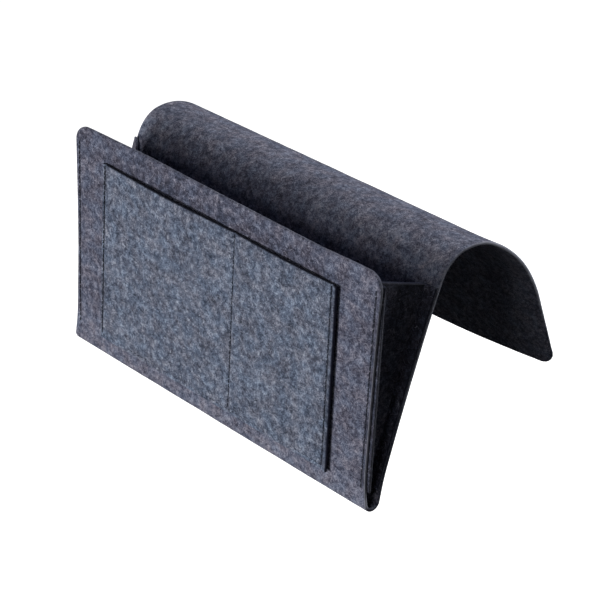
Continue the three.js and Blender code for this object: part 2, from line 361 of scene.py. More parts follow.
def groove(across, along, low, high, depth=GROOVE_DEPTH):
    """The dip of a sewn seam: a narrow groove, deepest at the needle holes, in a wide shallow pucker."""
    inside = np.clip(np.minimum(along - low, high - along) / STITCH + 1, 0, 1)
    holes = 1 - HOLE_SHARE + HOLE_SHARE * np.cos(2 * math.pi * (along - low) / STITCH)
    narrow = depth * holes * np.exp(-((across / GROOVE_HALF) ** 2))
    wide = PUCKER * np.exp(-((across / PUCKER_HALF) ** 2))
    return inside * (narrow + wide)


columns = marks(-HALF_WIDTH, HALF_WIDTH, GRID_STEP, (-seam_x, seam_x), SEAM_REACH)
columns = np.unique(np.concatenate([columns, EDGE_REACH - HALF_WIDTH, HALF_WIDTH - EDGE_REACH]))
corner_angles = np.linspace(0, math.pi / 2, CORNER_STEPS)
rows = np.unique(np.concatenate([
    FRONT_CORNER * (1 - np.sin(corner_angles)),
    EDGE_REACH,
    np.arange(FRONT_CORNER, front_length, STITCH / 4),
    np.linspace(front_length, back_start, FOLD_STEPS),
    np.arange(back_start, shoulder_start, STITCH / 4),
    np.linspace(shoulder_start, crown_start, SHOULDER_STEPS),
    np.linspace(crown_start, fall_start, CROWN_STEPS),
    np.linspace(fall_start, flap_start, FALL_STEPS),
    np.linspace(flap_start, sheet_end - FLAP_CORNER, FLAP_STEPS),
    sheet_end - FLAP_CORNER * (1 - np.sin(corner_angles)),
    sheet_end - EDGE_REACH,
]))
rows = rows[np.concatenate([[True], np.diff(rows) > ROWS_APART])]

along = np.repeat(rows[:, None], len(columns), axis=1)
on_left = columns[None, :] < 0
half = np.where(on_left, sheet_half(along, -1), sheet_half(along, 1))
square_half = np.where(on_left, sheet_side(along, -1), sheet_side(along, 1))
x = columns[None, :] * half / HALF_WIDTH
flap_share = np.clip((along - flap_start) / FLAP_SIDE, 0, 1)
bow = FLAP_BOW * np.maximum(1 - (x / (HALF_WIDTH - FLAP_CORNER)) ** 2, 0)
along = along + bow * flap_share
flat = np.stack([x, along], axis=-1)
inset = np.minimum(
    rounded_inset(x, square_half, along, FRONT_CORNER),
    rounded_inset(x, square_half, sheet_end + bow - along, FLAP_CORNER),
)
outer_dip = sum(
    groove(x - side * seam_x, along, *seam) for side in (-1, 1) for seam in (front_seam, back_seam))
inner_dip = 0 * outer_dip

# The saddle's right edge flares outwards, away from the rail.
RIM_FLARES = (
    (shoulder_start, 0),
    (crown_start, 0.0014),
    (fall_start, 0.0007),
    (flap_start, 0.0020),
    (sheet_end, 0.0008),
)
RIM_REACH = 0.030
RIM_CURVE = 2.5
rim_share = np.clip((x - HALF_WIDTH + RIM_REACH) / RIM_REACH, 0, 1)
rim_flare = np.interp(along, *zip(*RIM_FLARES)) * rim_share**RIM_CURVE
sheet_middle = on_sheet(x, along, -rim_flare)
sheet_faces = felt_faces(sheet_middle, flat, inset, (outer_dip, inner_dip), seed=3)
sheet_normals = [side * directions(face) for side, face in zip((1, -1), sheet_faces)]

# The cut edges carry painted light and shade: a painted highlight on the saddle's edges and low on the
# front's right edge, and painted shade on the others.
FOLD_PAINTED_EDGE_SHADE = ((front_length + 0.004, -0.4), (back_start + 0.030, -0.4))
SADDLE_PAINTED_EDGE_LIGHT_SHADE = (
    (back_start + 0.090, 0.6),
    (shoulder_start, 0.5),
    (shoulder_start + 0.015, 0.2),
    (crown_start, 0.2),
    (fall_start, 0.9),
    (flap_start, 1.0),
    (flap_start + 0.050, -0.25),
)
LEFT_PAINTED_EDGE_LIGHT_SHADE = ((0, -0.15), (FRONT_CORNER, -0.4), (front_length, -0.08)) + FOLD_PAINTED_EDGE_SHADE + SADDLE_PAINTED_EDGE_LIGHT_SHADE
RIGHT_PAINTED_EDGE_LIGHT_SHADE = ((0, -0.15), (FRONT_CORNER, 0.3), (0.090, 0.7), (front_length, 1.0)) + FOLD_PAINTED_EDGE_SHADE + SADDLE_PAINTED_EDGE_LIGHT_SHADE
left_edge_light_shade, right_edge_light_shade = (np.interp(along, *zip(*tones)) for tones in (LEFT_PAINTED_EDGE_LIGHT_SHADE, RIGHT_PAINTED_EDGE_LIGHT_SHADE))
sheet_edge_light_shade = np.where(x < 0, left_edge_light_shade, right_edge_light_shade)

# The felt is paler towards the bottom fold. Painted shade darkens a band above the pocket's mouth, and the
# felt is darker on the left of the top margin and in the narrow strip outside the right front seam. Painted
# light makes it paler at both ends of the shoulder, and on the right further in.
FOLD_SHADES = ((0.150, 0), (front_length, 0.09), (back_start + 0.030, 0))
MOUTH_PAINTED_SHADE = ((0, -0.02), (0.010, -0.03), (0.018, -0.14), (0.022, -0.10), (0.045, 0))
MOUTH_HALF = 0.130
MOUTH_FADE = 0.010
MARGIN_DRIFT = ((-0.140, -0.05), (0.120, 0.015))
MARGIN_FADE = ((0.018, 1), (0.030, 0))
SHOULDER_PAINTED_LIGHT = (
    (shoulder_start - 0.004, 0),
    (shoulder_start + 0.006, 0.12),
    (crown_start - 0.014, 0.12),
    (crown_start, 0),
)
SHOULDER_LIGHT_ACROSS = ((-0.150, 1), (-0.105, 0), (0, 0), (0.040, 0.8), (0.150, 1))
STRIP_SHADE = -0.12
STRIP_FROM = 0.0008
mouth_painted_shade = np.interp(along, *zip(*MOUTH_PAINTED_SHADE)) * np.clip((MOUTH_HALF - np.abs(x)) / MOUTH_FADE, 0, 1)
top_margin = np.interp(x, *zip(*MARGIN_DRIFT)) * np.interp(along, *zip(*MARGIN_FADE))
shoulder_painted_light = np.interp(along, *zip(*SHOULDER_PAINTED_LIGHT)) * np.interp(x, *zip(*SHOULDER_LIGHT_ACROSS))
right_strip = (x > seam_x + STRIP_FROM) & (along < front_seam[1])
sheet_light_shade_and_tone = np.interp(along, *zip(*FOLD_SHADES)) + mouth_painted_shade + top_margin + shoulder_painted_light
sheet_light_shade_and_tone = sheet_light_shade_and_tone + STRIP_SHADE * right_strip


def sheet_length(name, first, last):
    """One length of the main sheet, from one row of its grid to another."""
    span = slice(first, last + 1)
    ends = [row for row in (first, last) if 0 < row < len(rows) - 1]
    seams = [(row - first, [normal[row] for normal in sheet_normals]) for row in ends]
    faces = [face[span] for face in sheet_faces]
    return felt_cut(
        name, faces, flat[span], inset[span], sheet_edge_light_shade[span], sheet_light_shade_and_tone[span], seam_rows=seams)


LOW_BACK = 0.030
low_back = int(np.argmin(np.abs(rows - back_start - LOW_BACK)))
mid_crown = int(np.argmin(np.abs(rows - (crown_start + fall_start) / 2)))
front_sheet = sheet_length("sheet_front_and_fold", 0, low_back)
back_sheet = sheet_length("sheet_back_and_shoulder", low_back, mid_crown)
flap_sheet = sheet_length("sheet_crown_and_flap", mid_crown, len(rows) - 1)


def linear(hex_colour):
    """A colour given as sRGB hex, in the linear values that a shader takes."""
    channels = [int(hex_colour[place:place + 2], 16) / 255 for place in (1, 3, 5)]
    return tuple(c / 12.92 if c <= 0.04045 else ((c + 0.055) / 1.055) ** 2.4 for c in channels) + (1,)


def add(tree, kind, inputs=None, **settings):
    """A node with its settings; an input that is a socket is linked, and any other is set."""
    made = tree.nodes.new(kind)
    for name, value in settings.items():
        setattr(made, name, value)
    for name, value in (inputs or {}).items():
        if isinstance(value, bpy.types.NodeSocket):
            tree.links.new(value, made.inputs[name])
        else:
            made.inputs[name].default_value = value
    return made


def new_material(name):
    """A material with an empty node tree, and the tree."""
    material = bpy.data.materials.new(name)
    material.use_nodes = True
    material.node_tree.nodes.clear()
    return material, material.node_tree


# Needle-punched felt is a mat of short fibres that lie every way, most of them blue-grey, with pale and
# nearly black ones mixed in. It is matt, with a faint sheen where its raised fibres are seen edge on. Single
# fibres are 0.03 mm thick, far too fine to show here, so they are drawn as tufts 0.9 mm wide and 3.4 mm long,
# in clouds of 5 mm and 22 mm where the mix is paler or darker. Its tint drifts from cool to warm over 12 mm.
TUFT_WIDTH = 0.0009
TUFT_LENGTH = 0.0034
TUFT_TURNS = (20, 80, 140)
LAYER_SHIFTS = (0, 0.37)
LAYER_TURN = 80
CLOUD = 0.005
WIDE_CLOUD = 0.022
TUFT_SHARE = 0.89
CLOUD_SHARE = 0.9
WIDE_SHARE = 0.4
SHADE_PLACES = (0.0, 0.3, 0.5, 0.7, 1.0)
TINT_DRIFT = 0.012
TINTS = ((0.3, "#f3fcff"), (0.7, "#fff9f3"))
TUFT_RELIEF = 0.0006

# Here and there a loose fibre curls over the rest, drawn as coarse as the tufts. It follows a level line of a
# smooth pattern, and shows only in patches.
LOOSE_FIBRE = 0.011
LOOSE_LINE = 0.016
LOOSE_PATCH = 0.006
LOOSE_FROM = 0.54
LOOSE_TO = 0.62
LOOSE_COVER = 0.8

# A cut edge's painted highlight is pale blue-grey, and its painted shade is nearly black.
PAINTED_EDGE_HIGHLIGHT = "#c4c8d6"
PAINTED_EDGE_SHADE = "#151829"


def needle_felt(name, shades):
    """Felt in five shades, from its darkest fibres to its palest."""
    material, tree = new_material(name)
    flat_cut = add(tree, "ShaderNodeUVMap", uv_map="flat_cut").outputs["UV"]
    tufts = []
    for shift in LAYER_SHIFTS:
        strongest = None
        for turn in TUFT_TURNS:
            turned = add(
                tree, "ShaderNodeMapping",
                {
                    "Vector": flat_cut,
                    "Location": (shift, shift, 0),
                    "Rotation": (0, 0, math.radians(turn + LAYER_TURN * shift)),
                },
            )
            drawn_out = add(
                tree, "ShaderNodeMapping",
                {"Vector": turned.outputs["Vector"], "Scale": (1 / TUFT_LENGTH, 1 / TUFT_WIDTH, 1)},
            )
            tuft = add(
                tree, "ShaderNodeTexNoise",
                {"Vector": drawn_out.outputs["Vector"], "Scale": 1.0, "Detail": 1.0, "Distortion": 0.5},
                noise_dimensions="2D",
            ).outputs["Fac"]
            if strongest is None:
                strongest = tuft
            else:
                larger = add(tree, "ShaderNodeMath", {0: strongest, 1: tuft}, operation="MAXIMUM")
                strongest = larger.outputs[0]
        tufts.append(strongest)
    clouds = [
        add(
            tree, "ShaderNodeTexNoise",
            {"Vector": flat_cut, "Scale": 1 / size, "Detail": 3.0, "Roughness": 0.65}, noise_dimensions="2D",
        ).outputs["Fac"]
        for size in (CLOUD, WIDE_CLOUD)
    ]
    relief = add(tree, "ShaderNodeMath", {0: tufts[0], 1: tufts[1]}, operation="SUBTRACT").outputs[0]
    mixed = add(tree, "ShaderNodeMath", {0: relief, 1: TUFT_SHARE, 2: 0.5}, operation="MULTIPLY_ADD")
    for cloud, share in zip(clouds, (CLOUD_SHARE, WIDE_SHARE)):
        level = add(tree, "ShaderNodeMath", {0: cloud, 1: 0.5}, operation="SUBTRACT").outputs[0]
        mixed = add(
            tree, "ShaderNodeMath", {0: level, 1: share, 2: mixed.outputs[0]}, operation="MULTIPLY_ADD")
    mix = mixed.outputs[0]
    # Painted light and shade, with a few plain changes of tone, brighten or darken the felt through this
    # attribute.
    light_shade_and_tone = add(tree, "ShaderNodeAttribute", attribute_name="light_shade_and_tone").outputs["Fac"]
    shaded = add(tree, "ShaderNodeMath", {0: mix, 1: light_shade_and_tone}, operation="ADD").outputs[0]
    ramp = add(tree, "ShaderNodeValToRGB", {"Fac": shaded})
    stops = ramp.color_ramp.elements
    stops[0].position = SHADE_PLACES[0]
    stops[0].color = linear(shades[0])
    stops[1].position = SHADE_PLACES[-1]
    stops[1].color = linear(shades[-1])
    for place, shade in zip(SHADE_PLACES[1:-1], shades[1:-1]):
        stops.new(place).color = linear(shade)
    drift = add(
        tree, "ShaderNodeTexNoise", {"Vector": flat_cut, "Scale": 1 / TINT_DRIFT, "Detail": 1.0},
        noise_dimensions="2D",
    )
    tint = add(tree, "ShaderNodeValToRGB", {"Fac": drift.outputs["Fac"]})
    for stop, (place, colour) in zip(tint.color_ramp.elements, TINTS):
        stop.position = place
        stop.color = linear(colour)
    tinted = add(
        tree, "ShaderNodeMix", {"Factor": 1.0, 6: ramp.outputs["Color"], 7: tint.outputs["Color"]},
        data_type="RGBA", blend_type="MULTIPLY",
    )
    curls = add(
        tree, "ShaderNodeTexNoise",
        {"Vector": flat_cut, "Scale": 1 / LOOSE_FIBRE, "Detail": 0.0, "Distortion": 1.5},
        noise_dimensions="2D",
    )
    off_line = add(tree, "ShaderNodeMath", {0: curls.outputs["Fac"], 1: 0.5}, operation="SUBTRACT")
    off_line = add(tree, "ShaderNodeMath", {0: off_line.outputs[0]}, operation="ABSOLUTE")
    line = add(
        tree, "ShaderNodeMapRange",
        {"Value": off_line.outputs[0], "From Min": 0.0, "From Max": LOOSE_LINE, "To Min": 1.0, "To Max": 0.0},
    )
    lying = add(
        tree, "ShaderNodeTexNoise",
        {"Vector": flat_cut, "Scale": 1 / LOOSE_PATCH, "Detail": 0.0}, noise_dimensions="2D",
    )
    shown = add(
        tree, "ShaderNodeMapRange",
        {
            "Value": lying.outputs["Fac"],
            "From Min": LOOSE_FROM,
            "From Max": LOOSE_TO,
            "To Min": 0.0,
            "To Max": LOOSE_COVER,
        },
    )
    loose = add(tree, "ShaderNodeMath", {0: line.outputs[0], 1: shown.outputs[0]}, operation="MULTIPLY")
    fibres = add(
        tree, "ShaderNodeMix",
        {"Factor": loose.outputs[0], 6: tinted.outputs[2], 7: linear(shades[-1])}, data_type="RGBA",
    )
    # The cut edges' painted highlight and painted shade are mixed over the felt here.
    edge_light_and_shade = add(tree, "ShaderNodeAttribute", attribute_name="edge_light_and_shade").outputs["Fac"]
    edge_highlight_mix = add(
        tree, "ShaderNodeMix",
        {"Factor": edge_light_and_shade, 6: fibres.outputs[2], 7: linear(PAINTED_EDGE_HIGHLIGHT)}, data_type="RGBA",
    )
    edge_shade_share = add(tree, "ShaderNodeMath", {0: edge_light_and_shade, 1: -1.0}, operation="MULTIPLY")
    cut = add(
        tree, "ShaderNodeMix",
        {"Factor": edge_shade_share.outputs[0], 6: edge_highlight_mix.outputs[2], 7: linear(PAINTED_EDGE_SHADE)}, data_type="RGBA",
    )
    bump = add(tree, "ShaderNodeBump", {"Height": mix, "Strength": 0.5, "Distance": TUFT_RELIEF})
    felt = add(
        tree, "ShaderNodeBsdfPrincipled",
        {
            "Base Color": cut.outputs[2],
            "Normal": bump.outputs["Normal"],
            "Roughness": 0.95,
            "IOR": 1.45,
            "Specular IOR Level": 0.0,
            "Sheen Weight": 0.25,
            "Sheen Roughness": 0.6,
            "Sheen Tint": linear("#b9bdcb"),
        },
    )
    add(tree, "ShaderNodeOutputMaterial", {"Surface": felt.outputs["BSDF"]})
    return material


sheet_felt = needle_felt("needle_felt_purple_grey", ("#20222b", "#40404f", "#5c5e70", "#7e7f90", "#a8a8b8"))
for piece, first, last, rests_on in (
    (front_sheet, 0, low_back, ["sheet_back_and_shoulder"]),
    (back_sheet, low_back, mid_crown, []),
    (flap_sheet, mid_crown, len(rows) - 1, ["sheet_back_and_shoulder"]),
):
    piece.data.materials.append(sheet_felt)
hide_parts("front_wall", "bottom_fold")
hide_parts("back_wall", "saddle_shoulder")
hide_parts("saddle_crown", "saddle_fall", "rear_flap")
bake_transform(front_sheet)
on_sheet(0, np.array(shoulder_start))
on_sheet(0, np.array(crown_start))
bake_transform(back_sheet)
on_sheet(0, np.array(fall_start))
on_sheet(0, np.array(flap_start))
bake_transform(flap_sheet)


# Front pocket. A second cut of felt, from a bluer batch, lies on the front wall and is sewn down at its
# sides, along its lower edge and on one divider line. Between the seams its upper edge stands off the wall.

pocket_low, pocket_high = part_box("front_pocket")
POCKET_LEAN_LEFT = 0.0017
POCKET_LEAN_RIGHT = 0.0009
POCKET_GAPES = (0.0020, 0.0013)
GAPE_ROUND = 1.5
GAPE_FALL = 2.5
EDGE_CURL = 0.0015
EDGE_SPREAD = 0.0015
MOUTH_SLOPE = -0.0105
MOUTH_LEVEL_X = 0.010
LEFT_SEAM_OUT = 0.0008
BOTTOM_GROOVE_SHARE = 1 / 3
POCKET_PATTERN_SHIFT = 1.2
divider_low, divider_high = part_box("pocket_divider_seam")
divider_x = (divider_low.x + divider_high.x) / 2
pocket_height = pocket_high.z - pocket_low.z
POCKET_MIDDLE = (pocket_low.y + pocket_high.y) / 2
left_seam_x = sum(corner.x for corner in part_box("pocket_left_seam")) / 2 - LEFT_SEAM_OUT
right_seam_x = sum(corner.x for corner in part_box("pocket_right_seam")) / 2
SEAM_TOP = 0.0008
pocket_seam = (SEAM_TOP, pocket_high.z - divider_low.z)
bottom_seam_drop = pocket_high.z - sum(corner.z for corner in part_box("pocket_bottom_seam")) / 2


def pocket_lean(x, drop):
    """How far the pocket's sides lean in towards its mouth, by the place across and down the pocket."""
    share = np.clip((x - pocket_low.x) / (pocket_high.x - pocket_low.x), 0, 1)
    to_mouth = 1 - 2 * drop / pocket_height
    return to_mouth * (POCKET_LEAN_LEFT * (1 - share) - POCKET_LEAN_RIGHT * share)


def pocket_gape(x, drop):
    """How far the pocket stands off the wall: nothing at its seams, most in the middle of each mouth."""
    gape = 0 * x
    for low, high, depth in (
        (left_seam_x, divider_x, POCKET_GAPES[0]),
        (divider_x, right_seam_x, POCKET_GAPES[1]),
    ):
        share = np.clip((x - low) / (high - low), 0, 1)
        gape = gape + depth * np.sin(math.pi * share) ** GAPE_ROUND
    return gape * np.clip(1 - drop / pocket_height, 0, 1) ** GAPE_FALL


def on_pocket(x, drop, off=0):
    """Points of the pocket: across it, down from its mouth, and off its middle towards the front. Its free
    right edge, past the seam, curls off the wall."""
    rise = MOUTH_SLOPE * (x - MOUTH_LEVEL_X) * (1 - drop / pocket_height)
    past_seam = np.clip((x - right_seam_x) / (pocket_high.x - right_seam_x), 0, 1)
    out_x = x + pocket_lean(x, drop) + EDGE_SPREAD * past_seam
    y = POCKET_MIDDLE - pocket_gape(x, drop) - EDGE_CURL * past_seam - off
    return np.stack([out_x, y, pocket_high.z - drop + rise], axis=-1)


pocket_seams = (left_seam_x, divider_x, right_seam_x)
pocket_columns = marks(pocket_low.x, pocket_high.x, GRID_STEP, pocket_seams, SEAM_REACH)
pocket_columns = np.unique(np.concatenate([
    pocket_columns, pocket_low.x + EDGE_REACH, pocket_high.x - EDGE_REACH]))
pocket_rows = marks(0, pocket_height, STITCH / 4, (bottom_seam_drop,), SEAM_REACH)
pocket_rows = np.unique(np.concatenate([pocket_rows, EDGE_REACH, pocket_height - EDGE_REACH]))
across, drop = np.meshgrid(pocket_columns, pocket_rows)
middle = on_pocket(across, drop)
pocket_inset = np.minimum(
    np.minimum(across - pocket_low.x, pocket_high.x - across),
    np.minimum(drop, pocket_height - drop),
)
outer_dip = sum(groove(across - seam, drop, *pocket_seam) for seam in pocket_seams)
bottom_depth = GROOVE_DEPTH * BOTTOM_GROOVE_SHARE
outer_dip = outer_dip + groove(drop - bottom_seam_drop, across, left_seam_x, right_seam_x, bottom_depth)
pocket_flat = np.stack([across, drop + POCKET_PATTERN_SHIFT], axis=-1)
pocket_faces = felt_faces(middle, pocket_flat, pocket_inset, (outer_dip, 0 * outer_dip), seed=21)

# All the pocket's cut edges carry painted shade. Painted shade darkens the felt along its right seam, and
# the felt is darker still outside that seam.
POCKET_PAINTED_EDGE_SHADE = -1.0
SEAM_PAINTED_SHADE = -0.07
SEAM_PAINTED_SHADE_HALF = 0.003
pocket_painted_shade_and_strip = SEAM_PAINTED_SHADE * np.exp(-(((across - right_seam_x) / SEAM_PAINTED_SHADE_HALF) ** 2))
pocket_painted_shade_and_strip = pocket_painted_shade_and_strip + (STRIP_SHADE - SEAM_PAINTED_SHADE) * (across > right_seam_x + STRIP_FROM)
pocket = felt_cut("front_pocket_patch", pocket_faces, pocket_flat, pocket_inset, POCKET_PAINTED_EDGE_SHADE, pocket_painted_shade_and_strip)
pocket_felt = needle_felt("needle_felt_blue_grey", ("#20252f", "#424756", "#60677a", "#848b9d", "#b1b8c9"))
pocket.data.materials.append(pocket_felt)
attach(pocket, "front")
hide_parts("front_pocket")


# Gussets. One felt cut on each side, folded outwards on two lines: a flange on the front wall, a web across
# the side of the main pocket and a flange on the back wall.

GUSSET_BEND = 0.002
flange_low, flange_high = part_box("right_gusset_front_flange")
web_low, web_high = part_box("right_gusset_web")
back_flange_low, back_flange_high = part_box("right_gusset_back_flange")
web_x = (web_low.x + web_high.x) / 2
front_reach = (FRONT_TOP - flange_high.z, FRONT_TOP - flange_low.z)
flange_off = FELT
foot_up = front_length - front_reach[1]
back_flange_rise = back_flange_high.z - back_flange_low.z - FELT * math.sin(WALL_SPREAD)
back_flange_length = back_flange_rise / math.cos(WALL_SPREAD)
back_reach = (back_start + foot_up + back_flange_length, back_start + foot_up)
FLANGE_OUT = (0.0010, 0.0024)
LEFT_WEB_DIP = 0.014
LEFT_DIP_CURVE = 2.5
LEFT_TIP_RISE = 0.0025
GUSSET_ROWS = 60
EDGE_ROWS_OVER = 0.16
WEB_STEPS = 30
FLANGE_STEPS = 9
BEND_STEPS = 8
GUSSET_PATTERN_SHIFT = 2

gusset_rows = marks(0, 1, 1 / GUSSET_ROWS)
edge_rows = EDGE_REACH / EDGE_ROWS_OVER
gusset_rows = np.unique(np.concatenate([gusset_rows, edge_rows, 1 - edge_rows]))
flange_run = HALF_WIDTH - web_x - GUSSET_BEND


def gusset_faces(side, seed):
    """Both faces of one gusset, its flat coordinates, its inset from the cut edge and its fold columns. The
    left web dips at the back, where its top is notched."""
    front_along = front_reach[0] + gusset_rows * (front_reach[1] - front_reach[0])
    back_top = back_reach[0] + (LEFT_TIP_RISE if side < 0 else 0)
    back_along = back_top + gusset_rows * (back_reach[1] - back_top)
    front_line = on_sheet(0, front_along, -flange_off)
    back_line = on_sheet(0, back_along, -flange_off)
    pull_front = -FLANGE_OUT[0] - (FLANGE_OUT[1] - FLANGE_OUT[0]) * gusset_rows
    pull_back = HALF_WIDTH - sheet_half(back_along, side)
    span = np.linalg.norm(back_line - front_line, axis=1)
    towards_back = (back_line - front_line) / span[:, None]
    down_back = np.array([0, -math.sin(WALL_SPREAD), -math.cos(WALL_SPREAD)])
    dip = LEFT_WEB_DIP if side < 0 else 0

    flange_shares = np.unique(np.concatenate([np.linspace(0, 1, FLANGE_STEPS), EDGE_REACH / flange_run]))
    flange_x = HALF_WIDTH - flange_run * flange_shares
    turns = np.linspace(0, math.pi / 2, BEND_STEPS)[1:]
    bend_x = web_x + GUSSET_BEND * (1 - np.sin(turns))
    bend_in = GUSSET_BEND * (1 - np.cos(turns))
    web_shares = np.linspace(0, 1, WEB_STEPS)[1:-1]
    rows_of = []
    for row in range(len(gusset_rows)):
        pulled_front = pull_front[row] * (1 - flange_shares)
        pulled_back = pull_back[row] * (1 - flange_shares)
        web_run = GUSSET_BEND + web_shares * (span[row] - 2 * GUSSET_BEND)
        places = np.concatenate([
            np.column_stack([flange_x - pulled_front, 0 * flange_x]),
            np.column_stack([bend_x, bend_in]),
            np.column_stack([0 * web_run + web_x, web_run]),
            np.column_stack([bend_x, span[row] - bend_in])[::-1],
            np.column_stack([flange_x - pulled_back, 0 * flange_x + span[row]])[::-1],
        ])
        on_row = front_line[row] + places[:, 1:] * towards_back[row] + places[:, :1] * np.array([side, 0, 0])
        flange_dips = flange_shares[::-1] ** LEFT_DIP_CURVE
        dips = np.concatenate([0 * flange_x, 0 * bend_x, web_shares, np.ones(len(bend_x)), flange_dips])
        rows_of.append(on_row + dip * (1 - gusset_rows[row]) ** 2 * dips[:, None] * down_back)
    middle = np.stack(rows_of)
    steps = np.linalg.norm(np.diff(middle, axis=1), axis=2)
    run = np.concatenate([np.zeros((len(gusset_rows), 1)), np.cumsum(steps, axis=1)], axis=1)
    drop = np.repeat(gusset_rows[:, None] * (front_reach[1] - front_reach[0]), middle.shape[1], axis=1)
    gusset_flat = np.stack([run - run[:, -1:] / 2 + GUSSET_PATTERN_SHIFT + side, drop], axis=-1)
    gusset_inset = np.minimum(np.minimum(run, run[:, -1:] - run), np.minimum(drop, drop[-1:] - drop))
    front_fold = len(flange_shares) + len(turns) - 1
    back_fold = middle.shape[1] - 1 - front_fold
    faces = felt_faces(middle, gusset_flat, gusset_inset, (0 * run, 0 * run), seed)
    return faces, gusset_flat, gusset_inset, front_fold, back_fold


# The cut edges carry painted shade, apart from the front flanges below their tops, which carry a faint
# painted highlight, and the left back flange. Painted shade darkens a lip down the front flanges' outer
# edges, the right back flange and the upper webs, and painted light makes the left back flange paler at its
# tip.
FLANGE_PAINTED_EDGE_LIGHT_SHADE = ((0, -1), (0.002, -1), (0.006, 0.09))
LIP_PAINTED_SHADE = ((0.0035, -0.28), (0.005, 0))
WEB_PAINTED_EDGE_SHADE = -1.0
WEB_PAINTED_SHADE = ((0, -0.6), (0.003, -0.18), (0.060, -0.15), (0.110, 0))
LEFT_TIP_PAINTED_LIGHT = ((0, 0.12), (0.060, 0))
BACK_FLANGE_PAINTED_SHADE = -0.26
BACK_NORMAL = Vector((0, math.cos(WALL_SPREAD), -math.sin(WALL_SPREAD)))
for name, side, seed in (("left", -1, 41), ("right", 1, 57)):
    faces, gusset_flat, gusset_inset, front_fold, back_fold = gusset_faces(side, seed)
    whole = [sign * directions(face) for sign, face in zip((1, -1), faces)]
    last_column = gusset_inset.shape[1] - 1
    for part, first, last, body in (
        ("front_flange", 0, front_fold, "front"),
        ("web", front_fold, back_fold, "back"),
        ("back_flange", back_fold, last_column, "back"),
    ):
        span = slice(first, last + 1)
        ends = [column for column in (first, last) if 0 < column < last_column]
        seams = [(column - first, [normal[:, column] for normal in whole]) for column in ends]
        down = gusset_flat[:, span, 1]
        if part == "front_flange":
            from_edge = gusset_flat[:, span, 0] - gusset_flat[:, :1, 0]
            tone = np.interp(down, *zip(*FLANGE_PAINTED_EDGE_LIGHT_SHADE))
            shade = np.interp(from_edge, *zip(*LIP_PAINTED_SHADE))
        elif part == "back_flange" and side < 0:
            tone = 0
            shade = np.interp(down, *zip(*LEFT_TIP_PAINTED_LIGHT))
        elif part == "back_flange":
            tone = WEB_PAINTED_EDGE_SHADE
            shade = BACK_FLANGE_PAINTED_SHADE
        else:
            tone = WEB_PAINTED_EDGE_SHADE
            shade = np.interp(down, *zip(*WEB_PAINTED_SHADE))
        piece = felt_cut(
            f"{name}_gusset_{part}_felt", [face[:, span] for face in faces],
            gusset_flat[:, span], gusset_inset[:, span], tone, shade, seam_columns=seams,
        )
        piece.data.materials.append(sheet_felt)
        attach(piece, body)
        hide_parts(f"{name}_gusset_{part}")
        if part == "web":
            anchor = on_sheet(0, np.array(back_reach[1]), -flange_off - FELT / 2)
            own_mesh(piece)


# Seams. Lockstitches of dark spun polyester thread, 0.8 mm thick, sewn by machine at 4.2 mm a stitch. Each
# stitch lies in the groove that it pulls into the felt and dives into a needle hole at both ends. How deep it
# sinks differs from seam to seam.

THREAD = 0.0008
THREAD_FLATNESS = 0.8
STITCH_SINK = 0.0007
DIVIDER_SINK = 0.0011
RIGHT_SINK = 0.0005
BOTTOM_SINK = 0.0013
STITCH_ARCH = 0.0006
STITCH_TAPER = 0.35
STITCH_GAP = 0.06
STITCH_RINGS = 7
STITCH_SIDES = 6

# Spun thread is matt and fuzzy, with three twisted plies. They are 0.3 mm apart, too fine to show, so its
# streaks are drawn 0.9 mm apart.
PLY_STREAK = 0.0009


def spun_thread():
    """Dark blue-grey thread, from the shade of its hollows to that of its raised plies."""
    material, tree = new_material("spun_polyester_thread")
    place = add(tree, "ShaderNodeTexCoord").outputs["Object"]
    plies = add(tree, "ShaderNodeTexNoise", {"Vector": place, "Scale": 1 / PLY_STREAK, "Detail": 2.0})
    shade = add(
        tree, "ShaderNodeMix",
        {"Factor": plies.outputs["Fac"], 6: linear("#14161c"), 7: linear("#2b2e38")}, data_type="RGBA",
    )
    thread = add(
        tree, "ShaderNodeBsdfPrincipled",
        {"Base Color": shade.outputs[2], "Roughness": 0.75, "IOR": 1.5, "Specular IOR Level": 0.1},
    )
    add(tree, "ShaderNodeOutputMaterial", {"Surface": thread.outputs["BSDF"]})
    return material


thread_material = spun_thread()


